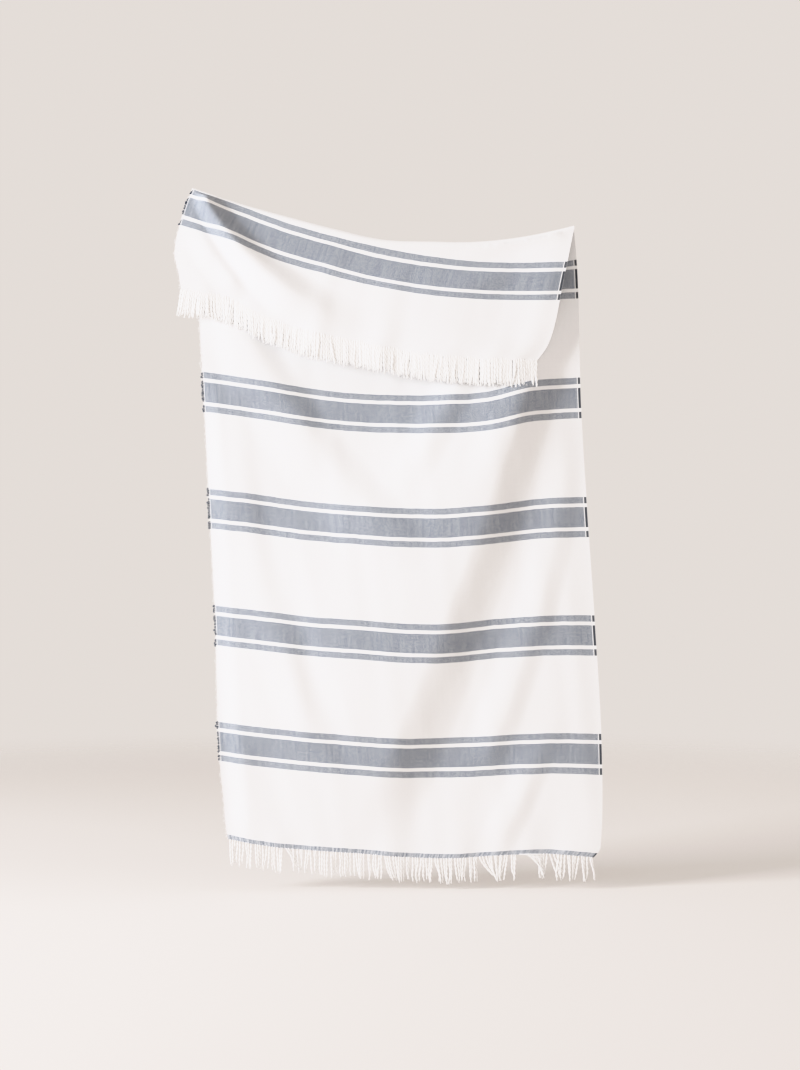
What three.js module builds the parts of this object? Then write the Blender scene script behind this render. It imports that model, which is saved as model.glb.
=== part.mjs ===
// Fouta towel held up by the two ends of a fold: one length of flat-woven cotton whose upper end is turned
// over to the front, with loose warp yarns at both ends.
// Millimetres, +X along the fold, +Y to the back, +Z up. The origin is the crest of the fold at the left
// selvedge, where the towel is held.
import * as THREE from "three";

// The cloth as woven
const clothWidth = 1000;
const clothLength = 2000; // from the end of one weave to the end of the other, without the yarns
const wall = 1.5;
const seam = 0.3; // gap between pieces that touch

// Radius of the fold
const foldRadiusAtGrips = 7;
const foldRadiusMiddle = 13;

// How the two layers stand in front of the plane of the grips, and how far below the crest they reach that
const panelStand = -6;
const panelSettle = 300;
const flapStand = 14;
const flapSettle = 120;
const flapRightStand = 32; // the flap's right side stands this much further out
const rightStandFrom = 0.1; // share of the way across where that starts
const restGap = 6; // least distance between the middles of the two layers

// Weft courses from the lower end of the weave to the upper one. at is the distance along the cloth, left
// and right are the X of the selvedges, and z is the height at nine even places between them.
const panelCourses = [
  { at: 0, left: 90, right: 1034, z: [-1681, -1701, -1711, -1719, -1728, -1730, -1722, -1719, -1728] },
  { at: 30, left: 84, right: 1052, z: [-1652, -1672, -1682, -1690, -1699, -1701, -1693, -1690, -1700] },
  { at: 258, left: 66, right: 1056, z: [-1428, -1442, -1453, -1462, -1469, -1469, -1463, -1459, -1462] },
  { at: 563, left: 57, right: 1040, z: [-1129, -1142, -1156, -1164, -1173, -1173, -1162, -1155, -1155] },
  { at: 868, left: 41, right: 1019, z: [-827, -841, -858, -868, -876, -877, -867, -853, -849] },
  { at: 1173, left: 26, right: 1001, z: [-525, -542, -562, -577, -583, -584, -578, -551, -541] },
  { at: 1478, left: 10, right: 993, z: [-219, -246, -268, -288, -300, -297, -288, -263, -235] },
];
// The fold's crest crosses many wefts, so foldAt is its distance along the cloth at each of the nine places
const crest = {
  left: 0,
  right: 983,
  z: [0, -41, -75, -107, -134, -139, -139, -125, -98],
  foldAt: [1722, 1719, 1707, 1703, 1702, 1687, 1672, 1655, 1631],
};
const flapCourses = [
  { at: 1783, left: -18, right: 952, z: [-46, -90, -137, -172, -203, -224, -237, -241, -241] },
  { at: 1900, left: -46, right: 931, z: [-164, -195, -247, -283, -309, -332, -346, -352, -353] },
  { at: 1960, left: -35, right: 912, z: [-225, -249, -303, -340, -364, -387, -402, -409, -410] },
  { at: 2000, left: -29, right: 885, z: [-265, -285, -341, -378, -400, -424, -439, -447, -448] },
];

// Folds in the front view, from one end to the other as X and Z. bow moves the middle of the line aside,
// above and below are the reach to each side of it at its two ends, lift is towards the front, and fade holds
// the shares of the length over which the two ends die out.
const panelFolds = [
  // long ridge down from the right grip, steep on its right side, with a lower one at its upper end
  {
    from: [362, -1740], to: [983, -106], bow: -38,
    above: [900, 60], below: [172, 72], lift: 46, fade: [0.2, 0.3],
  },
  {
    from: [690, -900], to: [983, -106], bow: -8,
    above: [80, 60], below: [60, 50], lift: 9, fade: [0.4, 0.4],
  },
  // ridges to the right of it
  {
    from: [670, -1640], to: [975, -420], bow: -76,
    above: [75, 75], below: [60, 60], lift: 11, fade: [0.25, 0.6],
  },
  {
    from: [760, -1760], to: [950, -1330], bow: 0,
    above: [60, 60], below: [50, 50], lift: 10, fade: [0.1, 0.6],
  },
  // right selvedge, which turns back
  {
    from: [1010, -480], to: [1070, -1650], bow: 0,
    above: [90, 90], below: [75, 75], lift: -6, fade: [0.15, 0.15],
  },
  // soft waves along the left selvedge
  {
    from: [10, -430], to: [95, -1720], bow: 0,
    above: [50, 60], below: [60, 60], lift: -12, fade: [0.15, 0.1],
  },
  {
    from: [60, -250], to: [400, -1600], bow: -78,
    above: [62, 62], below: [80, 80], lift: 7, fade: [0.7, 0.25],
  },
  {
    from: [150, -300], to: [450, -1620], bow: -68,
    above: [62, 62], below: [58, 58], lift: -5, fade: [0.7, 0.25],
  },
  // swag from the left grip, and a ridge that meets it in the middle
  {
    from: [0, -100], to: [600, -980], bow: -62,
    above: [60, 90], below: [90, 150], lift: 17, fade: [0.3, 0.2],
  },
  {
    from: [530, -800], to: [770, -330], bow: 0,
    above: [70, 60], below: [60, 60], lift: 12, fade: [0.35, 0.3],
  },
  // hollow above the lower hem
  {
    from: [170, -1400], to: [240, -1700], bow: 0,
    above: [60, 60], below: [60, 60], lift: -5, fade: [0.3, 0.3],
  },
];
const flapFolds = [
  // ridge pulled from the left grip, and a lower one beside the selvedge
  {
    from: [15, 0], to: [440, -372], bow: -54,
    above: [32, 84], below: [34, 100], lift: 36, fade: [0.08, 0.4],
  },
  {
    from: [-20, -70], to: [135, -290], bow: 0,
    above: [30, 35], below: [50, 60], lift: 12, fade: [0.5, 0.25],
  },
  // two pulls from the right grip, and a wide hollow below them
  {
    from: [660, -185], to: [975, -85], bow: 0,
    above: [35, 35], below: [45, 45], lift: 7, fade: [0.5, 0.15],
  },
  {
    from: [590, -315], to: [975, -118], bow: 0,
    above: [45, 45], below: [50, 50], lift: 3, fade: [0.5, 0.1],
  },
  {
    from: [790, -440], to: [870, -110], bow: 0,
    above: [160, 160], below: [90, 90], lift: -9, fade: [0.2, 0.3],
  },
];

// The flap's lower right corner, which rolls back
const cornerRoll = 5;
const cornerWidth = 70;
const cornerHeight = 110;

// Fringes, whose strands are bunches of yarn
const hemStrip = 6; // last woven picks, which hold the yarns
const strandCount = 96;
const strandWidth = 4;
const strandDepth = 3;
const tipShare = 0.7; // thickness of a strand's tip as a share of its middle
const panelFringeLength = 62;
const flapFringeLength = 64;
const fringeUnevenness = 7;
const strandLean = 5;
const leanStep = 0.37; // how fast the lean changes from strand to strand, in radians

// Fineness of the faceted surfaces
const columns = 40;
const panelRows = 36;
const flapRows = 12;
const crestRows = 6;

const cotton = new THREE.MeshStandardMaterial({ color: 0xf4f0ee, roughness: 0.9, metalness: 0 });
const yarn = new THREE.MeshStandardMaterial({ color: 0xf6f2ec, roughness: 0.95, metalness: 0 });

const { clamp, lerp, smoothstep } = THREE.MathUtils;

// A smooth function through values at rising places
function curveThrough(places, values) {
  const curve = new THREE.CubicInterpolant(places, values, 1, new Float32Array(1));
  return (place) => curve.evaluate(place)[0];
}

// A smooth function through values at even places from the left selvedge, 0, to the right one, 1
function curveAcross(values) {
  return curveThrough(values.map((_, i) => i / (values.length - 1)), values);
}

// A course with its X and height as functions of the share of the way across
function courseOf(row) {
  return { at: row.at, xAt: (across) => lerp(row.left, row.right, across), zAt: curveAcross(row.z) };
}

const crestCourse = courseOf(crest);
const foldAt = curveAcross(crest.foldAt);
const foldRadius = (across) => lerp(foldRadiusAtGrips, foldRadiusMiddle, Math.sin(Math.PI * across));
const quarterTurn = (across) => (Math.PI / 2) * foldRadius(across);

// How far a fold lifts the cloth to the front at a place in the front view
function foldLift(fold, x, z) {
  const [fromX, fromZ] = fold.from;
  const runX = fold.to[0] - fromX;
  const runZ = fold.to[1] - fromZ;
  const length = Math.hypot(runX, runZ);
  const along = ((x - fromX) * runX + (z - fromZ) * runZ) / length ** 2;
  const bend = fold.bow * 4 * along * (1 - along);
  const aside = ((z - fromZ) * runX - (x - fromX) * runZ) / length - bend;
  const reach = aside > 0 ? fold.above : fold.below;
  const profile = 1 - smoothstep(Math.abs(aside) / lerp(...reach, clamp(along, 0, 1)), 0, 1);
  return fold.lift * profile * smoothstep(along, 0, fold.fade[0]) * smoothstep(1 - along, 0, fold.fade[1]);
}

const liftOf = (folds, x, z) => folds.reduce((sum, fold) => sum + foldLift(fold, x, z), 0);

// Share of the way from the fold's side to a layer's own plane, at a height
function settled(across, z, settle) {
  return smoothstep(crestCourse.zAt(across) - z, foldRadius(across), settle);
}

// Depth of the panel, where the front is at negative Y
function panelDepth(across, x, z) {
  const stand = lerp(-foldRadius(across), panelStand, settled(across, z, panelSettle));
  return -stand - liftOf(panelFolds, x, z);
}

// Depth just in front of the panel at a place in the front view
function restDepth(x, z) {
  return panelDepth(clamp(x / crest.right, 0, 1), x, z) - restGap;
}

// Depth of the flap, which stays in front of the panel
function flapDepth(across, x, z) {
  const share = settled(across, z, flapSettle);
  const hemDrop = -flapCourses.at(-1).z.at(-1);
  const atRight = smoothstep(across, 1 - cornerWidth / clothWidth, 1);
  const inCorner = atRight * smoothstep(-z, hemDrop - cornerHeight, hemDrop);
  const ownStand = flapStand + flapRightStand * smoothstep(across, rightStandFrom, 1);
  const stand = lerp(foldRadius(across), ownStand, share);
  const depth = -stand - liftOf(flapFolds, x, z) + cornerRoll * inCorner;
  return Math.min(depth, lerp(-foldRadius(across), restDepth(x, z), share));
}

// A point of a layer, carried smoothly through its courses, at a distance along the cloth
function layerPoint(courses, depthAt, across, at) {
  const places = courses.map((course) => course.at);
  const x = curveThrough(places, courses.map((course) => course.xAt(across)))(at);
  const z = curveThrough(places, courses.map((course) => course.zAt(across)))(at);
  return new THREE.Vector3(x, depthAt(across, x, z), z);
}

// Where a layer leaves the fold, as one more course of it
function foldSide(across, at) {
  return { at, xAt: crestCourse.xAt, zAt: () => crestCourse.zAt(across) - foldRadius(across) };
}

function panelPoint(across, at) {
  const courses = [...panelCourses.map(courseOf), foldSide(across, foldAt(across) - quarterTurn(across))];
  return layerPoint(courses, panelDepth, across, at);
}

function flapPoint(across, at) {
  const courses = [foldSide(across, foldAt(across) + quarterTurn(across)), ...flapCourses.map(courseOf)];
  return layerPoint(courses, flapDepth, across, at);
}

// A point of the half turn over the crest, from the back at turn 0 to the front at turn 1
function crestPoint(across, turn) {
  const radius = foldRadius(across);
  const y = radius * Math.cos(Math.PI * turn);
  const z = crestCourse.zAt(across) - radius * (1 - Math.sin(Math.PI * turn));
  return new THREE.Vector3(crestCourse.xAt(across), y, z);
}

// A closed wall around a grid of points, half its thickness to each side
function wallAround(grid) {
  const rows = grid.length;
  const places = grid[0].length;
  const front = [];
  const back = [];
  const span = (a, b) => new THREE.Vector3().subVectors(b, a);
  for (let j = 0; j < rows; j++) {
    for (let i = 0; i < places; i++) {
      const alongRow = span(grid[j][Math.max(i - 1, 0)], grid[j][Math.min(i + 1, places - 1)]);
      const upColumn = span(grid[Math.max(j - 1, 0)][i], grid[Math.min(j + 1, rows - 1)][i]);
      const half = alongRow.cross(upColumn).setLength(wall / 2);
      front.push(grid[j][i].clone().add(half));
      back.push(grid[j][i].clone().sub(half));
    }
  }
  const index = [];
  const quad = (a, b, c, d) => index.push(a, b, c, a, c, d);
  const at = (i, j) => j * places + i;
  const behind = (i, j) => rows * places + at(i, j);
  for (let j = 0; j < rows - 1; j++) {
    for (let i = 0; i < places - 1; i++) {
      quad(at(i, j), at(i + 1, j), at(i + 1, j + 1), at(i, j + 1));
      quad(behind(i, j), behind(i, j + 1), behind(i + 1, j + 1), behind(i + 1, j));
    }
  }
  const [lastColumn, lastRow] = [places - 1, rows - 1];
  for (let i = 0; i < lastColumn; i++) {
    quad(at(i + 1, 0), at(i, 0), behind(i, 0), behind(i + 1, 0));
    quad(at(i, lastRow), at(i + 1, lastRow), behind(i + 1, lastRow), behind(i, lastRow));
  }
  for (let j = 0; j < lastRow; j++) {
    quad(at(0, j), at(0, j + 1), behind(0, j + 1), behind(0, j));
    quad(at(lastColumn, j + 1), at(lastColumn, j), behind(lastColumn, j), behind(lastColumn, j + 1));
  }
  return new THREE.BufferGeometry().setFromPoints([...front, ...back]).setIndex(index);
}

// Rows of points, each from the left selvedge to the right one
function gridOf(rowCount, pointAt) {
  const shares = (count) => Array.from({ length: count + 1 }, (_, i) => i / count);
  return shares(rowCount).map((share) => shares(columns).map((across) => pointAt(across, share)));
}

function mainPanel() {
  const top = (across) => foldAt(across) - quarterTurn(across) - seam;
  const pointAt = (across, share) => panelPoint(across, lerp(hemStrip, top(across), share));
  return wallAround(gridOf(panelRows, pointAt));
}

function foldedFlap() {
  const top = (across) => foldAt(across) + quarterTurn(across);
  const bottom = clothLength - hemStrip;
  const turn = gridOf(crestRows, crestPoint);
  const hanging = gridOf(flapRows, (across, share) => flapPoint(across, lerp(top(across), bottom, share)));
  return wallAround([...turn, ...hanging.slice(1)]);
}

// A number between -1 and 1 that looks random and is the same for the same counter
function jitter(counter) {
  const scrambled = Math.sin(counter * 127.1) * 43758.5453;
  return 2 * (scrambled - Math.floor(scrambled)) - 1;
}

// A point on the straight facets between the wall's columns, so that a strip meets the wall's edge evenly
function facetPoint(pointAt, across, at) {
  const column = Math.min(Math.floor(across * columns), columns - 1);
  const from = pointAt(column / columns, at);
  return from.lerp(pointAt((column + 1) / columns, at), across * columns - column);
}

// Half the wall's thickness towards the back, square to the cloth
function halfWall(pointAt, across, at) {
  const step = 1 / columns;
  const left = facetPoint(pointAt, Math.max(across - step, 0), at);
  const right = facetPoint(pointAt, Math.min(across + step, 1), at);
  const upColumn = pointAt(across, at + hemStrip).sub(pointAt(across, at - hemStrip));
  const square = right.sub(left).cross(upColumn).setLength(wall / 2);
  return square.y < 0 ? square.negate() : square;
}

// Corners of a section across a strand or its strip: front left, front right, back right, back left
function sectionOf(left, right, back) {
  return [left.clone().sub(back), right.clone().sub(back), right.clone().add(back), left.clone().add(back)];
}

// The sections of one strand: the strip's upper and lower edge, the strand's middle and its tip
function strandSections(pointAt, from, to, across, length, lean, tipShift) {
  const half = strandWidth / 2 / clothWidth;
  const back = halfWall(pointAt, across, (from + to) / 2);
  const facet = (aside, at) => facetPoint(pointAt, across + aside, at);
  const edge = (at) => sectionOf(facet(-half, at), facet(half, at), back);
  const root = facet(0, to);
  const level = (share, size) => {
    const hang = new THREE.Vector3(lean * share ** 1.5, tipShift * share, -length * share);
    const centre = root.clone().add(hang);
    const aside = new THREE.Vector3((strandWidth / 2) * size, 0, 0);
    const behind = new THREE.Vector3(0, (strandDepth / 2) * size, 0);
    return sectionOf(centre.clone().sub(aside), centre.clone().add(aside), behind);
  };
  return [edge(from), edge(to), level(0.45, 1), level(1, tipShare)];
}

// The last picks of a weave as a narrow strip whose lower edge carries on as strands of yarn
function fringe(pointAt, from, to, length, seed, tipShiftOf) {
  const points = [];
  const index = [];
  const quad = (a, b, c, d) => index.push(a, b, c, a, c, d);
  const strands = Array.from({ length: strandCount }, (_, k) => {
    const across = lerp(strandWidth / 2, clothWidth - strandWidth / 2, k / (strandCount - 1)) / clothWidth;
    const ownLength = length + fringeUnevenness * jitter(seed + k);
    const lean = strandLean * Math.sin(k * leanStep + seed) + jitter(seed + strandCount + k);
    const tipShift = tipShiftOf(pointAt(across, to), ownLength);
    return strandSections(pointAt, from, to, across, ownLength, lean, tipShift).map((section) => {
      points.push(...section);
      return section.map((_, corner) => points.length - section.length + corner);
    });
  });
  for (const [top, root, middle, tip] of strands) {
    quad(root[0], root[1], top[1], top[0]);
    quad(root[2], root[3], top[3], top[2]);
    quad(top[0], top[1], top[2], top[3]);
    for (const [upper, lower] of [[root, middle], [middle, tip]]) {
      for (let side = 0; side < 4; side++) {
        const next = (side + 1) % 4;
        quad(lower[side], lower[next], upper[next], upper[side]);
      }
    }
    quad(tip[3], tip[2], tip[1], tip[0]);
  }
  for (let k = 1; k < strandCount; k++) {
    const [topA, rootA] = strands[k - 1];
    const [topB, rootB] = strands[k];
    quad(rootA[1], rootB[0], topB[0], topA[1]);
    quad(rootB[3], rootA[2], topA[2], topB[3]);
    quad(topA[1], topB[0], topB[3], topA[2]);
    quad(rootA[2], rootB[3], rootB[0], rootA[1]);
  }
  const [firstTop, firstRoot] = strands[0];
  const [lastTop, lastRoot] = strands[strandCount - 1];
  quad(firstRoot[3], firstRoot[0], firstTop[0], firstTop[3]);
  quad(lastRoot[1], lastRoot[2], lastTop[2], lastTop[1]);
  return new THREE.BufferGeometry().setFromPoints(points).setIndex(index);
}

function hemFringe() {
  return fringe(panelPoint, hemStrip - seam, 0, panelFringeLength, 3, () => 0);
}

function flapFringe() {
  const stayInFront = (root, length) => Math.min(0, restDepth(root.x, root.z - length) - root.y);
  return fringe(flapPoint, clothLength - hemStrip + seam, clothLength, flapFringeLength, 11, stayInFront);
}

function piece(name, geometry, material) {
  const mesh = new THREE.Mesh(geometry, material);
  mesh.name = name;
  return mesh;
}

const towel = new THREE.Group();
towel.add(
  piece("main_panel", mainPanel(), cotton),
  piece("folded_flap", foldedFlap(), cotton),
  piece("hem_fringe", hemFringe(), yarn),
  piece("flap_fringe", flapFringe(), yarn),
);

export default towel;
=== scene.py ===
import math

import bpy
import numpy as np
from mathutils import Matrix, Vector


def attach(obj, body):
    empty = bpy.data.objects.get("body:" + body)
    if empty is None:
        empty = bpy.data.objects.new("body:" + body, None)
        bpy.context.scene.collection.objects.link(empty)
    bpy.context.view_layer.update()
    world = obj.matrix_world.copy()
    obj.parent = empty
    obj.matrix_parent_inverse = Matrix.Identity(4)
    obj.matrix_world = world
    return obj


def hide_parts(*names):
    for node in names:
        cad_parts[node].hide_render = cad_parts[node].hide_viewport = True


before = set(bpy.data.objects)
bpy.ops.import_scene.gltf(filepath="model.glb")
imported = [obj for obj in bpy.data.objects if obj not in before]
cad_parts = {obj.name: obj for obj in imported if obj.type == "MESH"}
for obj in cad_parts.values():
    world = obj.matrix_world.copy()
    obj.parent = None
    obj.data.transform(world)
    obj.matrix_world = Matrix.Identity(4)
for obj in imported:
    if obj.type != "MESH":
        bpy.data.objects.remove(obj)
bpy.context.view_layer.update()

# The towel's frame: X along the fold, Y to the back, Z up, with the origin at the left end of the fold.
# Shapes are worked out in millimetres, as the cloth was measured, and put into meshes in metres.
metre = 0.001

# A stand is how far a layer hangs in front of the grips, reached as far below the crest as it takes to settle
cloth = {
    "width": 1000, "length": 2000, "thickness": 0.9, "sharpAngle": 55,
    "foldRadiusAtGrips": 7, "foldRadiusMiddle": 13,
    "panelStand": -6, "panelSettle": 300, "flapStand": 14, "flapSettle": 120,
    "flapRightStand": 32, "rightStandFrom": 0.1, "restGap": 5,
    "cornerRoll": 5, "cornerWidth": 70, "cornerHeight": 110,
    "evenWithin": 6,  # the unevenness grows up to this many quarter turns of the fold from the crest
    "acrossSteps": 150, "panelSteps": 254, "crestSteps": 12, "flapSteps": 56,
}

# Weft courses: how far along the cloth, the X of both selvedges, and the Z at nine even places between them
panelCourses = [
    {"at": 0, "left": 90, "right": 1034,
     "z": [-1681, -1701, -1711, -1719, -1728, -1730, -1722, -1719, -1728]},
    {"at": 30, "left": 84, "right": 1052,
     "z": [-1652, -1672, -1682, -1690, -1699, -1701, -1693, -1690, -1700]},
    {"at": 258, "left": 66, "right": 1056,
     "z": [-1428, -1442, -1453, -1462, -1469, -1469, -1463, -1459, -1462]},
    {"at": 563, "left": 57, "right": 1040,
     "z": [-1129, -1142, -1156, -1164, -1173, -1173, -1162, -1155, -1155]},
    {"at": 868, "left": 41, "right": 1019,
     "z": [-827, -841, -858, -868, -876, -877, -867, -853, -849]},
    {"at": 1173, "left": 26, "right": 1001,
     "z": [-525, -542, -562, -577, -583, -584, -578, -551, -541]},
    {"at": 1478, "left": 10, "right": 993,
     "z": [-219, -246, -268, -288, -300, -297, -284, -249, -233]},
]
crest = {
    "left": 0, "right": 983, "z": [0, -41, -75, -107, -134, -139, -139, -125, -98],
    "foldAt": [1722, 1719, 1707, 1703, 1702, 1687, 1672, 1655, 1631],  # distance along the cloth
}
flapCourses = [
    {"at": 1783, "left": -18, "right": 952,
     "z": [-46, -90, -137, -173, -207, -229, -242, -246, -246]},
    {"at": 1900, "left": -46, "right": 931,
     "z": [-164, -195, -247, -283, -309, -332, -346, -352, -353]},
    {"at": 1960, "left": -35, "right": 912,
     "z": [-225, -249, -303, -340, -364, -387, -402, -409, -410]},
    {"at": 2000, "left": -29, "right": 885,
     "z": [-265, -285, -341, -378, -400, -424, -439, -447, -448]},
]

# Folds in the front view: from one end to the other as X and Z, bow of the line, reach above and below it
# at its ends, lift to the front, and the shares of the length over which the ends die out
panelFolds = [
    {"from": (362, -1740), "to": (983, -106), "bow": -38,
     "above": (900, 60), "below": (172, 72), "lift": 46, "fade": (0.2, 0.3)},
    {"from": (690, -900), "to": (983, -106), "bow": -8,
     "above": (80, 60), "below": (60, 50), "lift": 9, "fade": (0.4, 0.4)},
    {"from": (670, -1640), "to": (975, -420), "bow": -76,
     "above": (75, 75), "below": (60, 60), "lift": 11, "fade": (0.25, 0.6)},
    {"from": (760, -1760), "to": (950, -1330), "bow": 0,
     "above": (60, 60), "below": (50, 50), "lift": 10, "fade": (0.35, 0.6)},
    {"from": (1010, -480), "to": (1070, -1650), "bow": 0,
     "above": (90, 90), "below": (75, 75), "lift": -6, "fade": (0.15, 0.15)},
    {"from": (10, -430), "to": (95, -1720), "bow": 0,
     "above": (50, 60), "below": (60, 60), "lift": -12, "fade": (0.15, 0.1)},
    {"from": (60, -250), "to": (400, -1600), "bow": -78,
     "above": (62, 62), "below": (80, 80), "lift": 8, "fade": (0.9, 0.25)},
    {"from": (150, -300), "to": (450, -1620), "bow": -68,
     "above": (62, 62), "below": (58, 58), "lift": -6, "fade": (0.9, 0.25)},
    {"from": (0, -100), "to": (600, -980), "bow": -62,
     "above": (60, 90), "below": (90, 150), "lift": 17, "fade": (0.3, 0.2)},
    {"from": (530, -800), "to": (770, -330), "bow": 0,
     "above": (70, 60), "below": (60, 60), "lift": 12, "fade": (0.35, 0.3)},
    {"from": (170, -1400), "to": (240, -1700), "bow": 0,
     "above": (60, 60), "below": (60, 60), "lift": -5, "fade": (0.3, 0.3)},
]
flapFolds = [
    {"from": (15, 0), "to": (440, -372), "bow": -54,
     "above": (32, 84), "below": (34, 100), "lift": 36, "fade": (0.08, 0.4)},
    {"from": (-20, -70), "to": (135, -290), "bow": 0,
     "above": (30, 35), "below": (50, 60), "lift": 12, "fade": (0.5, 0.25)},
    {"from": (660, -185), "to": (975, -85), "bow": 0,
     "above": (35, 35), "below": (45, 45), "lift": 7, "fade": (0.5, 0.15)},
    {"from": (590, -315), "to": (975, -118), "bow": 0,
     "above": (45, 45), "below": (50, 50), "lift": 3, "fade": (0.5, 0.1)},
    {"from": (790, -440), "to": (870, -110), "bow": 0,
     "above": (160, 160), "below": (90, 90), "lift": -9, "fade": (0.2, 0.3)},
]
# Slight unevenness of the hanging cloth: wave lengths across and along, height and phase
ripples = [
    {"across": 83, "along": 1900, "height": 0.35, "phase": 0.4},
    {"across": 131, "along": -2700, "height": 0.55, "phase": 2.1},
    {"across": 61, "along": 700, "height": 0.18, "phase": 4.0},
    {"across": 290, "along": 410, "height": 0.6, "phase": 1.3},
    {"across": -470, "along": 230, "height": 0.4, "phase": 5.2},
]
# Waves of both hems, of two lengths added, which die out over the reach
hemWaves = {
    "length": 168, "height": 2.6, "secondLength": 97, "secondHeight": 1.1, "reach": 110,
    "lowerPhase": 0.8, "upperPhase": 2.9,
}


# 0 below low, 1 above high, and the smooth cubic 3t^2 - 2t^3 between
def smoothStep(value, low, high):
    share = np.clip((value - low) / (high - low), 0, 1)
    return share * share * (3 - 2 * share)


# The value a share of the way from the first to the second
def blend(first, second, share):
    return first + (second - first) * share


# Cubic through values at rising places, where each inner slope is the one between its neighbours
def throughPlaces(places, values, at):
    places, values = np.broadcast_arrays(np.asarray(places, float), np.asarray(values, float))
    steps = np.diff(places, axis=0)
    rises = np.diff(values, axis=0) / steps
    slopes = np.empty_like(values)
    slopes[1:-1] = (values[2:] - values[:-2]) / (places[2:] - places[:-2])
    slopes[0] = 1.5 * rises[0] - 0.5 * slopes[1]
    slopes[-1] = 1.5 * rises[-1] - 0.5 * slopes[-2]
    result = values[0] + slopes[0] * (at - places[0])
    for i in range(len(steps)):
        t = (at - places[i]) / steps[i]
        piece = ((2 * t**3 - 3 * t**2 + 1) * values[i] + (t**3 - 2 * t**2 + t) * steps[i] * slopes[i]
                 + (3 * t**2 - 2 * t**3) * values[i + 1] + (t**3 - t**2) * steps[i] * slopes[i + 1])
        result = np.where(t >= 0, piece, result)
    return result


# X along a course, evenly from one selvedge to the other
def courseX(course, across):
    return blend(course["left"], course["right"], across)


# A value known at even places across the cloth
def atStations(values, across):
    values = np.array(values, float)[:, None]
    places = np.linspace(0, 1, len(values))[:, None]
    return throughPlaces(places, values, np.ravel(across)).reshape(np.shape(across))


# Z along a course, through its nine stations
def courseZ(course, across):
    return atStations(course["z"], across)


# Distance along the cloth of the fold's crest
def foldAt(across):
    return atStations(crest["foldAt"], across)


# The half turn over the crest is tight at the grips and wider between them, as half a sine wave
def foldRadius(across):
    middle = np.sin(math.pi * np.clip(across, 0, 1))
    return blend(cloth["foldRadiusAtGrips"], cloth["foldRadiusMiddle"], middle)


# Sum of folds at places in the front view. Each is a smooth hump over the distance from its bowed line, and
# dies out towards both ends of it.
def liftOf(folds, x, z):
    total = np.zeros_like(x)
    for fold in folds:
        (fromX, fromZ), (toX, toZ) = fold["from"], fold["to"]
        runX, runZ = toX - fromX, toZ - fromZ
        length = math.hypot(runX, runZ)
        along = ((x - fromX) * runX + (z - fromZ) * runZ) / length**2
        aside = ((z - fromZ) * runX - (x - fromX) * runZ) / length - fold["bow"] * 4 * along * (1 - along)
        share = np.clip(along, 0, 1)
        reach = np.where(aside > 0, blend(*fold["above"], share), blend(*fold["below"], share))
        hump = 1 - smoothStep(np.abs(aside) / reach, 0, 1)
        start, end = fold["fade"]
        total += fold["lift"] * hump * smoothStep(along, 0, start) * smoothStep(1 - along, 0, end)
    return total


# Share of the way from the fold's side to a layer's own plane
def settled(across, z, settle):
    return smoothStep(courseZ(crest, across) - z, foldRadius(across), settle)


# Y of the panel: from the back of the fold to its own stand, less the lift of its folds
def panelDepth(across, x, z):
    stand = blend(-foldRadius(across), cloth["panelStand"], settled(across, z, cloth["panelSettle"]))
    return -stand - liftOf(panelFolds, x, z)


# Y of a layer that rests on the panel at that place of the front view
def restDepth(x, z):
    return panelDepth(np.clip(x / crest["right"], 0, 1), x, z) - cloth["restGap"]


# Y of the flap: from the front of the fold to its own stand, which grows to the right, less its folds, with
# the lower right corner rolled back, and never nearer to the panel than a layer that rests on it
def flapDepth(across, x, z):
    share = settled(across, z, cloth["flapSettle"])
    corner = flapCourses[-1]["z"][-1]
    rolled = smoothStep(across, 1 - cloth["cornerWidth"] / cloth["width"], 1)
    rolled = rolled * smoothStep(-z, -corner - cloth["cornerHeight"], -corner)
    ownStand = cloth["flapStand"] + cloth["flapRightStand"] * smoothStep(across, cloth["rightStandFrom"], 1)
    stand = blend(foldRadius(across), ownStand, share)
    depth = -stand - liftOf(flapFolds, x, z) + cloth["cornerRoll"] * rolled
    return np.minimum(depth, blend(-foldRadius(across), restDepth(x, z), share))


# Sum of sines over the flat cloth, and waves that grow towards each hem
def unevenness(across, along):
    x = across * cloth["width"]
    total = np.zeros_like(x)
    for row in ripples:
        turns = x / row["across"] + along / row["along"]
        total += row["height"] * np.sin(2 * math.pi * turns + row["phase"])
    hems = ((along, hemWaves["lowerPhase"]), (cloth["length"] - along, hemWaves["upperPhase"]))
    for away, phase in hems:
        wave = hemWaves["height"] * np.sin(2 * math.pi * x / hemWaves["length"] + phase)
        wave += hemWaves["secondHeight"] * np.sin(2 * math.pi * x / hemWaves["secondLength"] + 2 * phase)
        total += wave * np.exp(-away / hemWaves["reach"])
    return total


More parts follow.
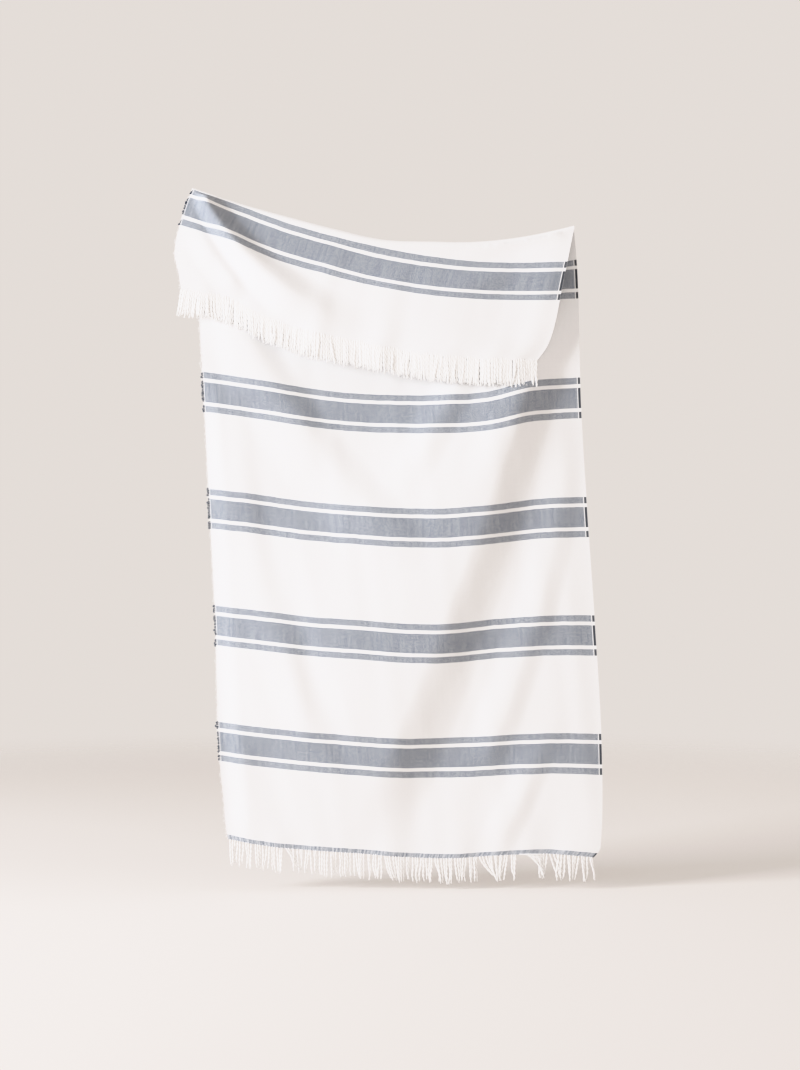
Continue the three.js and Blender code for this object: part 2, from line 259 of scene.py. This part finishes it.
# A point of the cloth from the share of the way across and the distance along it: the panel behind, a half
# turn over the crest, and the flap in front
def clothPoint(across, along):
    across, along = np.broadcast_arrays(np.asarray(across, float), np.asarray(along, float))
    shape = across.shape
    across, along = across.ravel(), along.ravel()
    radius = foldRadius(across)
    quarter = math.pi / 2 * radius
    crestX, crestZ = courseX(crest, across), courseZ(crest, across)

    def layer(courses, depthAt):
        places = np.array([np.broadcast_to(course[0], across.shape) for course in courses])
        x = throughPlaces(places, np.array([course[1] for course in courses]), along)
        z = throughPlaces(places, np.array([course[2] for course in courses]), along)
        return np.stack([x, depthAt(across, x, z), z], -1)

    def measured(courses):
        return [(course["at"], courseX(course, across), courseZ(course, across)) for course in courses]

    side = (crestX, crestZ - radius)
    panel = layer(measured(panelCourses) + [(foldAt(across) - quarter, *side)], panelDepth)
    flap = layer([(foldAt(across) + quarter, *side)] + measured(flapCourses), flapDepth)
    turn = np.clip((along - foldAt(across)) / radius, -math.pi / 2, math.pi / 2)
    over = np.stack([crestX, -radius * np.sin(turn), crestZ - radius * (1 - np.cos(turn))], -1)
    past = (along - foldAt(across)) / quarter
    points = np.where((past <= -1)[:, None], panel, np.where((past >= 1)[:, None], flap, over))
    points[:, 1] += unevenness(across, along) * smoothStep(np.abs(past), 1, cloth["evenWithin"])
    return points.reshape(*shape, 3)


# Distance along the cloth of each row of the grid, in each column
def alongGrid(across):
    quarter = math.pi / 2 * foldRadius(across)
    panelShare = np.linspace(0, 1, cloth["panelSteps"] + 1)[:, None]
    turnShare = np.linspace(-1, 1, cloth["crestSteps"] + 1)[1:, None]
    flapShare = np.linspace(0, 1, cloth["flapSteps"] + 1)[1:, None]
    top = foldAt(across) - quarter
    bottom = foldAt(across) + quarter
    return np.concatenate([panelShare * top, foldAt(across) + turnShare * quarter,
                           blend(bottom, cloth["length"], flapShare)])


# A mesh of one material that rides on the towel's one body
def newPiece(name, points, faces, material, nodes=()):
    mesh = bpy.data.meshes.new(name)
    mesh.from_pydata((points * metre).tolist(), [], faces)
    mesh.polygons.foreach_set("use_smooth", [True] * len(mesh.polygons))
    mesh.materials.append(material)
    piece = bpy.data.objects.new(name, mesh)
    bpy.context.scene.collection.objects.link(piece)
    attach(piece, "root")
    if nodes:
        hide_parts(*nodes)
    return piece


# A UV map from one pair of numbers for each point
def paintCoordinates(piece, uv):
    layer = piece.data.uv_layers.new(name="cloth")
    corners = np.empty(len(piece.data.loops), np.int32)
    piece.data.loops.foreach_get("vertex_index", corners)
    layer.data.foreach_set("uv", uv[corners].astype(np.float32).ravel())


# A closed shell on a grid of points: both sides half the thickness away along the surface's normal, with rims
def shellOn(grid, thickness):
    rows, columns = grid.shape[:2]
    normal = np.cross(np.gradient(grid, axis=1), np.gradient(grid, axis=0))
    normal /= np.linalg.norm(normal, axis=-1, keepdims=True)
    half = normal * thickness / 2
    points = np.concatenate([(grid + half).reshape(-1, 3), (grid - half).reshape(-1, 3)])
    at = np.arange(rows * columns).reshape(rows, columns)
    behind = at + rows * columns
    front = np.stack([at[:-1, :-1], at[:-1, 1:], at[1:, 1:], at[1:, :-1]], -1).reshape(-1, 4)
    back = np.stack([behind[:-1, :-1], behind[1:, :-1], behind[1:, 1:], behind[:-1, 1:]], -1).reshape(-1, 4)

    def rim(edge, edgeBehind):
        return np.stack([edge[1:], edge[:-1], edgeBehind[:-1], edgeBehind[1:]], -1)

    rims = [rim(at[0], behind[0]), rim(at[-1][::-1], behind[-1][::-1]),
            rim(at[:, 0][::-1], behind[:, 0][::-1]), rim(at[:, -1], behind[:, -1])]
    return points, np.concatenate([front, back, *rims]).tolist()


# A shader socket that adds, subtracts and multiplies like a number
class Term:
    def __init__(self, finish, socket):
        self.finish, self.socket = finish, socket

    def op(self, operation, *others, swapped=False):
        values = [*others, self] if swapped else [self, *others]
        return self.finish.node("ShaderNodeMath", {"operation": operation}, dict(enumerate(values)))

    def __add__(self, other):
        return self.op("ADD", other)

    def __sub__(self, other):
        return self.op("SUBTRACT", other)

    def __rsub__(self, other):
        return self.op("SUBTRACT", other, swapped=True)

    def __mul__(self, other):
        return self.op("MULTIPLY", other)

    __radd__ = __add__
    __rmul__ = __mul__


# A material whose nodes are written as expressions
class Finish:
    def __init__(self, name):
        self.material = bpy.data.materials.new(name)
        self.material.use_nodes = True
        self.tree = self.material.node_tree
        self.tree.nodes.clear()

    def node(self, kind, settings=None, sockets=None, out=0):
        made = self.tree.nodes.new(kind)
        for key, value in (settings or {}).items():
            setattr(made, key, value)
        for key, value in (sockets or {}).items():
            if isinstance(value, Term):
                self.tree.links.new(value.socket, made.inputs[key])
            else:
                made.inputs[key].default_value = value
        return Term(self, made.outputs[out]) if made.outputs else None

    def split(self, vector):
        made = self.tree.nodes.new("ShaderNodeSeparateXYZ")
        self.tree.links.new(vector.socket, made.inputs[0])
        return [Term(self, output) for output in made.outputs]

    def join(self, x, y, z=0.0):
        return self.node("ShaderNodeCombineXYZ", {}, {0: x, 1: y, 2: z})

    def mix(self, share, first, second):
        return self.node("ShaderNodeMix", {"data_type": "RGBA"}, {0: share, 6: first, 7: second}, out=2)

    # The place in the object's own coordinates
    def place(self):
        return self.node("ShaderNodeTexCoord", out="Object")

    def noise(self, vector, scale, detail, rough=0.5):
        sockets = {"Vector": vector, "Scale": scale, "Detail": detail, "Roughness": rough}
        return self.node("ShaderNodeTexNoise", {}, sockets)

    # 0 at low, 1 at high and smooth between, also where high is the smaller one
    def step(self, value, low, high):
        return self.node("ShaderNodeMapRange", {"interpolation_type": "SMOOTHSTEP"}, {
            "Value": value, "From Min": low, "From Max": high, "To Min": 0.0, "To Max": 1.0})

    # 1 between low and high, falling to 0 over a softness around each
    def band(self, value, low, high, softness):
        half = softness / 2
        return self.step(value, low - half, low + half) * self.step(value, high + half, high - half)

    # A colour times a number
    def tint(self, colour, shade):
        shades = self.join(shade, shade, shade)
        return self.node("ShaderNodeVectorMath", {"operation": "MULTIPLY"}, {0: colour, 1: shades})

    def surface(self, settings):
        shader = self.node("ShaderNodeBsdfPrincipled", {}, settings)
        self.node("ShaderNodeOutputMaterial", {}, {"Surface": shader})
        return self.material


def rgb(red, green, blue):
    return (red, green, blue, 1.0)


# Plain weave in white with grey-blue weft stripes. The UV map holds the place on the flat cloth in metres.
# The warp and weft shares say how navy a stripe is where either is on top, and slubs and mottle vary that.
weave = {
    "white": rgb(0.90, 0.89, 0.885), "navy": rgb(0.052, 0.0815, 0.132), "edgeNavy": rgb(0.084, 0.089, 0.102),
    "yarnPitch": 0.0011, "pickPitch": 0.0012, "threshold": -0.28, "yarnSoftness": 0.3,
    "warpShare": 0.25, "weftShare": 0.87, "warpSlub": 0.28, "weftSlub": 0.16, "mottle": 0.36,
    "whiteChange": 0.035, "mottleHeight": 1.2, "weftHeight": 1.5, "ridgeHeight": 2.0,
    "bumpStrength": 0.4, "bumpDistance": 0.00035,
}
# Stripes along the cloth, their groups repeating at one pitch, and how far their picks wander
stripes = {
    "firstBand": 0.258, "bandPitch": 0.305, "thickHalf": 0.0261, "thinCentre": 0.0437, "thinHalf": 0.0083,
    "thinShare": 0.96, "softness": 0.0012, "from": 0.12, "to": 1.92, "endSoftness": 0.001, "wander": 0.003,
}
hemLine = {
    "from": -0.002, "to": 0.0122, "softness": 0.0008, "ridgeTo": 0.0155, "ridgeSoftness": 0.001,
    "fleckFrom": 0.35, "fleckTo": 0.65, "fleckShare": 0.4, "share": 0.64,
}
# Distances from each selvedge. The hem line has a tick of the right line's navy at its end.
selvedges = {
    "leftLine": 0.004, "leftPale": 0.45, "rightLineFrom": 0.0066, "rightLineTo": 0.0002, "rightWhite": 0.0088,
    "hemTickFrom": 0.0045, "softness": 0.0006,
}
# Noises over the flat cloth: their scale across and along it to a metre, octaves and roughness
clothNoises = {
    "wander": {"across": 25.0, "along": 4.0, "detail": 3.0, "rough": 0.5},
    "mottle": {"across": 130.0, "along": 210.0, "detail": 3.0, "rough": 0.6},
    "warpStreak": {"across": 150.0, "along": 12.0, "detail": 2.0, "rough": 0.5},
    "weftStreak": {"across": 7.0, "along": 700.0, "detail": 2.0, "rough": 0.5},
    "hemFleck": {"across": 190.0, "along": 12.0, "detail": 1.0, "rough": 0.5},
}


def clothFinish():
    finish = Finish("cotton weave")
    across, along, _ = finish.split(finish.node("ShaderNodeUVMap", {"uv_map": "cloth"}))
    fromRight = cloth["width"] * metre - across

    def noiseOf(name):
        row = clothNoises[name]
        place = finish.join(across * row["across"], along * row["along"])
        return finish.noise(place, 1.0, row["detail"], row["rough"])

    # Groups of a thick stripe between two thin ones, by the distance from the middle of the nearest group
    pick = along + (noiseOf("wander") - 0.5) * stripes["wander"]
    offset = (pick - stripes["firstBand"]).op("PINGPONG", stripes["bandPitch"] / 2)
    soft = stripes["softness"] / 2
    thick = finish.step(offset, stripes["thickHalf"] + soft, stripes["thickHalf"] - soft)
    fromThin = (offset - stripes["thinCentre"]).op("ABSOLUTE")
    thin = finish.step(fromThin, stripes["thinHalf"] + soft, stripes["thinHalf"] - soft)
    within = finish.band(along, stripes["from"], stripes["to"], stripes["endSoftness"])
    stripe = (thick + thin * stripes["thinShare"]) * within
    hem = finish.band(pick, hemLine["from"], hemLine["to"], hemLine["softness"])

    # Loose weft turns leave a pale line at the left, and at the right a navy line with white on both sides
    soft = selvedges["softness"]
    edges = finish.step(across, selvedges["leftLine"] - soft, selvedges["leftLine"] + soft)
    edges = blend(selvedges["leftPale"], 1.0, edges)
    edges = edges * finish.step(fromRight, selvedges["rightWhite"] - soft, selvedges["rightWhite"] + soft)
    rightLine = finish.band(fromRight, selvedges["rightLineTo"], selvedges["rightLineFrom"], soft)
    hemTick = finish.band(fromRight, selvedges["rightLineTo"], selvedges["hemTickFrom"], soft) * hem

    # Plain weave: warp and weft take turns on top, as the sign of a product of two sines
    warp = (across * (math.pi / weave["yarnPitch"])).op("SINE")
    weft = (along * (math.pi / weave["pickPitch"])).op("SINE")
    over = warp * weft
    half = weave["yarnSoftness"]
    weftOnTop = finish.step(over, weave["threshold"] - half, weave["threshold"] + half)
    onTop = blend(weave["warpShare"], weave["weftShare"], weftOnTop)
    mottle = noiseOf("mottle") - 0.5
    warpStreak = noiseOf("warpStreak") - 0.5
    weftStreak = noiseOf("weftStreak") - 0.5
    uneven = mottle * weave["mottle"] + warpStreak * weave["warpSlub"] + weftStreak * weave["weftSlub"]

    hemFleck = finish.step(noiseOf("hemFleck"), hemLine["fleckFrom"], hemLine["fleckTo"])
    hemShare = hem * (hemFleck * hemLine["fleckShare"] + hemLine["share"])
    share = (stripe * edges).op("MAXIMUM", hemShare)
    navyShare = share * onTop * (uneven + 1.0)
    tone = finish.mix(navyShare.op("MINIMUM", 1.0), weave["white"], weave["navy"])
    edgeShare = rightLine * stripe + hemTick
    tone = finish.mix(edgeShare.op("MINIMUM", 1.0), tone, weave["edgeNavy"])
    colour = finish.tint(tone, 1.0 - (warpStreak + weftStreak + mottle) * weave["whiteChange"])

    ridge = finish.band(pick, hemLine["to"], hemLine["ridgeTo"], hemLine["ridgeSoftness"])
    height = over.op("ABSOLUTE") + mottle * weave["mottleHeight"]
    height = height + weftStreak * weave["weftHeight"] + ridge * weave["ridgeHeight"]
    bump = finish.node("ShaderNodeBump", {}, {
        "Strength": weave["bumpStrength"], "Distance": weave["bumpDistance"], "Height": height})
    return finish.surface({
        "Base Color": colour, "Roughness": 0.92, "Normal": bump, "Specular IOR Level": 0.2,
        "Sheen Weight": 0.18, "Sheen Roughness": 0.6,
    })


# The whole cloth in one shell, in place of the panel's and the flap's walls
def clothPiece():
    across = np.linspace(0, 1, cloth["acrossSteps"] + 1)
    along = alongGrid(across)
    grid = clothPoint(np.broadcast_to(across, along.shape), along)
    points, faces = shellOn(grid, cloth["thickness"])
    piece = newPiece("woven_cloth", points, faces, clothFinish(), ("main_panel", "folded_flap"))
    flat = np.stack([np.broadcast_to(across * cloth["width"], along.shape), along], -1).reshape(-1, 2) * metre
    paintCoordinates(piece, np.concatenate([flat, flat]))
    piece.data.set_sharp_from_angle(angle=math.radians(cloth["sharpAngle"]))
    return piece


towel = clothPiece()
print("cloth:", len(towel.data.polygons), "faces")


# Tubes along many paths at once: each ring is a polygon square to its path, flattened from front to back
def tubesAlong(paths, radii, sides, flat=1.0):
    count, steps = paths.shape[:2]
    run = np.gradient(paths, axis=1)
    run /= np.linalg.norm(run, axis=-1, keepdims=True)
    first = np.cross(run, [0.0, 1.0, 0.0])
    first /= np.linalg.norm(first, axis=-1, keepdims=True)
    second = np.cross(run, first) * flat
    turns = np.arange(sides) * (2 * math.pi / sides)
    around = first[:, :, None] * np.cos(turns)[:, None] + second[:, :, None] * np.sin(turns)[:, None]
    points = paths[:, :, None] + around * radii[:, :, None, None]
    start = (np.arange(count)[:, None, None] * steps + np.arange(steps - 1)[None, :, None]) * sides
    corner = np.arange(sides)
    after = (corner + 1) % sides
    quads = np.stack([start + corner, start + after, start + sides + after, start + sides + corner], -1)
    ends = np.arange(count)[:, None] * steps * sides + corner
    lids = np.concatenate([ends[:, ::-1], ends + (steps - 1) * sides])
    return points.reshape(-1, 3), quads.reshape(-1, 4).tolist() + lids.tolist()


yarnLook = {
    "shade": rgb(0.93, 0.915, 0.90), "light": rgb(0.97, 0.96, 0.95), "toneScale": 90.0, "toneDetail": 3.0,
    "fibreScale": 1400.0, "fibreDetail": 2.0, "bumpStrength": 0.5, "bumpDistance": 0.0004,
}


# Loose white cotton with a bump of fine fibres
def yarnFinish():
    finish = Finish("fringe yarn")
    place = finish.place()
    tone = finish.noise(place, yarnLook["toneScale"], yarnLook["toneDetail"])
    fibres = finish.noise(place, yarnLook["fibreScale"], yarnLook["fibreDetail"])
    bump = finish.node("ShaderNodeBump", {}, {
        "Strength": yarnLook["bumpStrength"], "Distance": yarnLook["bumpDistance"], "Height": fibres})
    return finish.surface({
        "Base Color": finish.mix(tone, yarnLook["shade"], yarnLook["light"]), "Roughness": 0.95,
        "Normal": bump, "Specular IOR Level": 0.15, "Sheen Weight": 0.5,
    })


yarnMaterial = yarnFinish()

# Two-ply strands in clumps. Sizes are shares of the ply's radius and spreads are in millimetres. At the upper
# end every second strand is loose: wider, and hanging almost straight behind the others.
fringe = {
    "steps": 16, "sides": 6, "twist": 24, "unevenness": 6, "clumpPitch": 10,
    "rootChange": 0.3, "clumpChange": 0.25, "bendFrom": 0.9, "bendTo": 1.6,
    "sweepSpread": 1.5, "tipSpread": 1.2,
    "rootSize": 0.7, "rootShare": 0.1, "tipSize": 0.4, "tipShare": 0.35, "depthShare": 0.5,
    "plyFrom": -0.05, "plyTo": 0.15,
    "looseSizeLeft": 1.2, "looseSize": 1.5, "looseSizeAt": 0.5, "looseSpread": 1, "looseWave": 0.4,
    "looseDepth": 0.6, "looseDepthShare": 0.5,
}
lowerYarns = {
    "strands": 130, "length": 62, "rootFrom": 0.3, "rootTo": 1.8, "plyRadius": 1.45, "plyOffset": 1.1,
    "gather": 0.3, "lean": 3.2, "wave": 2.0, "depthSpread": 1.8, "flat": 0.9, "looseFrom": 1, "seed": 5,
}
upperYarns = {
    "strands": 320, "length": 64, "rootFrom": 1.0, "rootTo": 8.0, "plyRadius": 1.8, "plyOffset": 1.2,
    "gather": 0.25, "lean": 2.4, "wave": 1.8, "depthSpread": 0.9, "flat": 0.4, "looseFrom": 0.07, "seed": 9,
}
# Where strands don't hang by chance: the stretch of their roots as shares of the width, how far their tips go
# to the right, how far they gather, and how late they bend
lowerSweeps = [
    {"from": 0.085, "to": 0.110, "sweep": -2, "gather": 0.8, "bend": 1.2},
    {"from": 0.148, "to": 0.178, "sweep": 27, "gather": 0.5, "bend": 1.0},
    {"from": 0.345, "to": 0.375, "sweep": 4, "gather": 0.6, "bend": 1.4},
    {"from": 0.420, "to": 0.470, "sweep": 9, "gather": 0.5, "bend": 1.2},
    {"from": 0.560, "to": 0.590, "sweep": 8, "gather": 0.6, "bend": 1.2},
    {"from": 0.682, "to": 0.704, "sweep": 34, "gather": 0.4, "bend": 1.5},
    {"from": 0.704, "to": 0.732, "sweep": 18, "gather": 0.4, "bend": 1.4},
    {"from": 0.735, "to": 0.768, "sweep": -10, "gather": 0.5, "bend": 1.2},
    {"from": 0.775, "to": 0.790, "sweep": -1, "gather": 0.6, "bend": 1.0},
    {"from": 0.790, "to": 0.846, "sweep": 40, "gather": 0.9, "bend": 0.6},
    {"from": 0.860, "to": 0.874, "sweep": -6, "gather": 0.7, "bend": 1.6},
    {"from": 0.876, "to": 0.900, "sweep": 20, "gather": 0.4, "bend": 1.0},
    {"from": 0.930, "to": 0.965, "sweep": -6, "gather": 0.5, "bend": 1.2},
    {"from": 0.965, "to": 0.985, "sweep": 2, "gather": 0.3, "bend": 1.2},
    {"from": 0.985, "to": 1.001, "sweep": 7, "gather": 0.3, "bend": 0.8},
]
upperSweeps = [
    {"from": 0.000, "to": 0.024, "sweep": -12, "gather": 0.1, "bend": 1.0},
    {"from": 0.024, "to": 0.048, "sweep": -9, "gather": 0.1, "bend": 1.0},
    {"from": 0.048, "to": 0.070, "sweep": -5, "gather": 0.1, "bend": 1.0},
    {"from": 0.120, "to": 0.150, "sweep": -8, "gather": 0.5, "bend": 1.2},
    {"from": 0.300, "to": 0.400, "sweep": -5, "gather": 0.0, "bend": 1.0},
    {"from": 0.415, "to": 0.440, "sweep": 7, "gather": 0.6, "bend": 1.2},
    {"from": 0.620, "to": 0.650, "sweep": -7, "gather": 0.5, "bend": 1.2},
    {"from": 0.985, "to": 1.001, "sweep": 2, "gather": 0.4, "bend": 1.0},
]


# How far each tip goes aside, and how late its strand bends: clumps gather and lean, and sweeps replace that
def tipsAside(across, rootX, yarns, sweeps, draw):
    count = len(across)
    clump = across * cloth["width"] / fringe["clumpPitch"]
    clump += draw.uniform(-fringe["clumpChange"], fringe["clumpChange"], count)
    clump = np.maximum(np.floor(clump), 0).astype(int)
    members = np.maximum(np.bincount(clump), 1)
    centres = np.bincount(clump, rootX) / members
    leans = draw.normal(0, yarns["lean"], len(members))
    aside = (centres[clump] - rootX) * yarns["gather"] + leans[clump]
    bend = draw.uniform(fringe["bendFrom"], fringe["bendTo"], count)
    for row in sweeps:
        inside = (across >= row["from"]) & (across < row["to"])
        middle = rootX[inside].mean()
        aside[inside] = (middle - rootX[inside]) * row["gather"] + row["sweep"]
        aside[inside] += draw.normal(0, fringe["sweepSpread"], inside.sum())
        bend[inside] = row["bend"]
    return aside + draw.normal(0, fringe["tipSpread"], count), bend


# Each strand is two plies round a centre line that falls from its root, goes aside as a power of the share
# down, and waves. It keeps its length: the drop is the third side of the triangle.
def fringePiece(name, node, end, inward, yarns, sweeps):
    draw = np.random.default_rng(yarns["seed"])
    count = yarns["strands"]
    across = np.arange(count) + 0.5 + draw.uniform(-fringe["rootChange"], fringe["rootChange"], count)
    across = across / count
    inset = draw.uniform(yarns["rootFrom"], yarns["rootTo"], count)
    root = clothPoint(across, end + inward * inset)
    aside, bend = tipsAside(across, root[:, 0], yarns, sweeps, draw)
    down = np.linspace(0, 1, fringe["steps"] + 1)
    reach = yarns["length"] + fringe["unevenness"] * draw.uniform(-1, 1, count)
    phase = draw.uniform(0, 2 * math.pi, count)[:, None]
    wave = draw.normal(0, yarns["wave"], count)[:, None] * np.sin(down * math.pi * 2 + phase)
    depth = draw.normal(0, yarns["depthSpread"], count)

    loose = (np.arange(count) % 2 == 0) & (across > yarns["looseFrom"])
    aside[loose] = draw.normal(0, fringe["looseSpread"], loose.sum())
    wave[loose] *= fringe["looseWave"]
    depth[loose] = np.abs(depth[loose]) * fringe["looseDepthShare"] + fringe["looseDepth"]
    fromLeft = smoothStep(across, 0, fringe["looseSizeAt"])
    size = np.where(loose, blend(fringe["looseSizeLeft"], fringe["looseSize"], fromLeft), 1)

    drop = np.sqrt(np.maximum(reach**2 - aside**2, 0)) + inset
    centre = np.stack([
        root[:, None, 0] + aside[:, None] * down ** bend[:, None] + wave * down,
        root[:, None, 1] + depth[:, None] * smoothStep(down, 0, fringe["depthShare"]),
        root[:, None, 2] - drop[:, None] * down], -1)
    turn = down * reach[:, None] / fringe["twist"] * 2 * math.pi + phase
    spread = yarns["plyOffset"] * smoothStep(down, fringe["plyFrom"], fringe["plyTo"])
    twist = np.stack([np.cos(turn) * spread, np.sin(turn) * spread * yarns["flat"], turn * 0], -1)
    paths = np.concatenate([centre + twist, centre - twist])
    slim = blend(fringe["rootSize"], 1, smoothStep(down, 0, fringe["rootShare"]))
    slim = slim - (1 - fringe["tipSize"]) * smoothStep(down, 1 - fringe["tipShare"], 1)
    radii = yarns["plyRadius"] * slim * np.tile(size, 2)[:, None]
    points, faces = tubesAlong(paths, radii, fringe["sides"], yarns["flat"])
    return newPiece(name, points, faces, yarnMaterial, (node,))


lowerFringe = fringePiece("lower_fringe", "hem_fringe", 0, 1, lowerYarns, lowerSweeps)
upperFringe = fringePiece("upper_fringe", "flap_fringe", cloth["length"], -1, upperYarns, upperSweeps)
print("fringes:", len(lowerFringe.data.polygons) + len(upperFringe.data.polygons), "faces")

# The weft turns back at the left selvedge in loose loops: navy beside the stripes, white elsewhere
loops = {
    "pitch": 6.8, "pitchChange": 1.3, "endGap": 2, "rootAt": 0.0015, "seed": 3,
    "span": 4.4, "spanFrom": 0.7, "spanTo": 1.3, "steps": 6, "sides": 3,
    "out": 4.8, "whiteOut": 3.2, "outChange": 1.3, "leastOut": 0.6, "roundness": 0.6, "tilt": 0.7, "sag": 0.3,
    "radius": 1.35, "whiteRadius": 0.8,
    "navyColour": rgb(0.018, 0.036, 0.07), "whiteColour": rgb(0.88, 0.87, 0.86),
}


# White or navy yarn by the attribute of each point
def loopFinish():
    finish = Finish("selvedge yarn")
    share = finish.node("ShaderNodeAttribute", {"attribute_name": "navy"}, out="Fac")
    colour = finish.mix(share, loops["whiteColour"], loops["navyColour"])
    return finish.surface({"Base Color": colour, "Roughness": 0.95, "Specular IOR Level": 0.15})


# Whether a place along the cloth, in metres, is in a stripe, by its distance from the nearest group's middle
def inStripe(place):
    pitch = stripes["bandPitch"]
    offset = np.abs((place - stripes["firstBand"] + pitch / 2) % pitch - pitch / 2)
    striped = (offset < stripes["thickHalf"]) | (np.abs(offset - stripes["thinCentre"]) < stripes["thinHalf"])
    return striped & (place > stripes["from"]) & (place < stripes["to"])


# Each loop leaves the selvedge and comes back to it along a power of half a sine wave, and sags a little
def loopPiece():
    draw = np.random.default_rng(loops["seed"])
    along = np.arange(loops["endGap"], cloth["length"] - loops["endGap"], loops["pitch"])
    along = along + draw.uniform(-1, 1, len(along)) * loops["pitchChange"]
    navy = inStripe(along * metre)
    out = np.where(navy, loops["out"], loops["whiteOut"]) + loops["outChange"] * draw.normal(0, 1, len(along))
    out = np.maximum(out, loops["leastOut"])
    share = np.linspace(0, 1, loops["steps"] + 1)
    span = (loops["span"] * draw.uniform(loops["spanFrom"], loops["spanTo"], len(along)))[:, None]
    across = np.full((len(along), len(share)), loops["rootAt"])
    places = clothPoint(across, along[:, None] + (share - 0.5) * span)
    bulge = np.sin(share * math.pi)[None, :] ** loops["roundness"] * out[:, None]
    tilt = draw.normal(0, loops["tilt"], len(along))[:, None] * np.sin(share * math.pi)
    paths = places + np.stack([-bulge, tilt, -loops["sag"] * bulge], -1)
    radii = np.broadcast_to(np.where(navy, loops["radius"], loops["whiteRadius"])[:, None], paths.shape[:2])
    points, faces = tubesAlong(paths, radii, loops["sides"])
    piece = newPiece("selvedge_loops", points, faces, loopFinish())
    layer = piece.data.attributes.new("navy", "FLOAT", "POINT")
    layer.data.foreach_set("value", np.repeat(navy.astype(np.float32), len(share) * loops["sides"]))
    return piece


weftLoops = loopPiece()
print("selvedge loops:", len(weftLoops.data.polygons), "faces")


# Studio: a pale floor with painted shade behind the towel, fading into the pale backdrop colour, soft light
# from the front left
studio = {
    "floorZ": -1.812, "floorX": 0.5, "floorRadius": 9.0, "floorSides": 96, "fadeFrom": 2.6, "fadeTo": 4.6,
    "backdrop": rgb(0.825, 0.772, 0.736),
    # The second floor colour is painted shade, a broad soft shadow behind the towel; the spans on the next
    # line say where the painted shade falls
    "floor": rgb(0.83, 0.80, 0.775), "floorPaintedShade": rgb(0.77, 0.738, 0.712),
    "paintedShadeFromY": -0.35, "paintedShadeToY": 0.6, "paintedShadeFromX": 1.5, "paintedShadeToX": 0.1,
    "keyPlace": (-4.3, -2.5, 0.4), "keyAim": (0.5, 0, -0.9), "keySize": 2.2, "keySpread": 130,
    "keyPower": 200, "keyColour": (0.89, 0.935, 1.0),
}


# Painted shade makes the floor darker behind the towel, as a broad soft shadow, and the floor is clear where
# it reaches the backdrop
def floorFinish():
    finish = Finish("studio floor")
    x, y, _ = finish.split(finish.place())
    fromMiddle = x - studio["floorX"]
    away = (fromMiddle * fromMiddle + y * y).op("SQRT")
    shown = finish.step(away, studio["fadeTo"], studio["fadeFrom"])
    # Mask of the painted shade: behind the towel in depth, and fading out towards the right
    behind = finish.step(y, studio["paintedShadeFromY"], studio["paintedShadeToY"])
    behind = behind * finish.step(x, studio["paintedShadeFromX"], studio["paintedShadeToX"])
    colour = finish.mix(behind, studio["floor"], studio["floorPaintedShade"])
    matte = finish.node("ShaderNodeBsdfPrincipled", {}, {"Base Color": colour, "Roughness": 0.8})
    clear = finish.node("ShaderNodeBsdfTransparent")
    both = finish.node("ShaderNodeMixShader", {}, {0: shown, 1: clear, 2: matte})
    finish.node("ShaderNodeOutputMaterial", {}, {"Surface": both})
    return finish.material


# One flat disc with many sides
def floorPiece():
    sides = studio["floorSides"]
    turns = np.linspace(0, 2 * math.pi, sides, endpoint=False)
    radius = studio["floorRadius"]
    x = studio["floorX"] + radius * np.cos(turns)
    points = np.stack([x, radius * np.sin(turns), np.full_like(turns, studio["floorZ"])], -1)
    mesh = bpy.data.meshes.new("floor")
    mesh.from_pydata(points.tolist(), [], [list(range(sides))])
    mesh.materials.append(floorFinish())
    floor = bpy.data.objects.new("floor", mesh)
    bpy.context.scene.collection.objects.link(floor)


floorPiece()
print("studio floor ready")


world = bpy.data.worlds.new("studio")
bpy.context.scene.world = world
world.use_nodes = True
world.node_tree.nodes["Background"].inputs["Color"].default_value = studio["backdrop"]


# A square soft light, turned to its aim
def keyLight():
    data = bpy.data.lights.new("key", "AREA")
    data.shape = "SQUARE"
    data.size = studio["keySize"]
    data.energy = studio["keyPower"]
    data.color = studio["keyColour"]
    data.spread = math.radians(studio["keySpread"])
    light = bpy.data.objects.new("key", data)
    light.location = studio["keyPlace"]
    towards = Vector(studio["keyAim"]) - Vector(studio["keyPlace"])
    light.rotation_euler = towards.to_track_quat("-Z", "Y").to_euler()
    bpy.context.scene.collection.objects.link(light)


keyLight()
bpy.context.scene.view_settings.view_transform = "Khronos PBR Neutral"  # as product photographs are graded

# The photograph's frame is 800 by 1070, level, and 2.58 mm of cloth to a pixel
photo = {"wide": 800, "high": 1070, "scale": 2.58, "gripX": 193, "gripY": 188, "distance": 5.5, "sensor": 36}


# The camera looks straight to the back, with the left grip at its place in the photograph's frame
def frontCamera():
    camera = bpy.data.cameras.new("camera")
    camera.sensor_width = photo["sensor"]
    camera.lens = photo["sensor"] * photo["distance"] / (photo["high"] * photo["scale"] * metre)
    view = bpy.data.objects.new("camera", camera)
    view.location = ((photo["wide"] / 2 - photo["gripX"]) * photo["scale"] * metre, -photo["distance"],
                     (photo["gripY"] - photo["high"] / 2) * photo["scale"] * metre)
    view.rotation_euler = (math.pi / 2, 0, 0)
    bpy.context.scene.collection.objects.link(view)
    bpy.context.scene.camera = view


frontCamera()
print("light and camera ready")
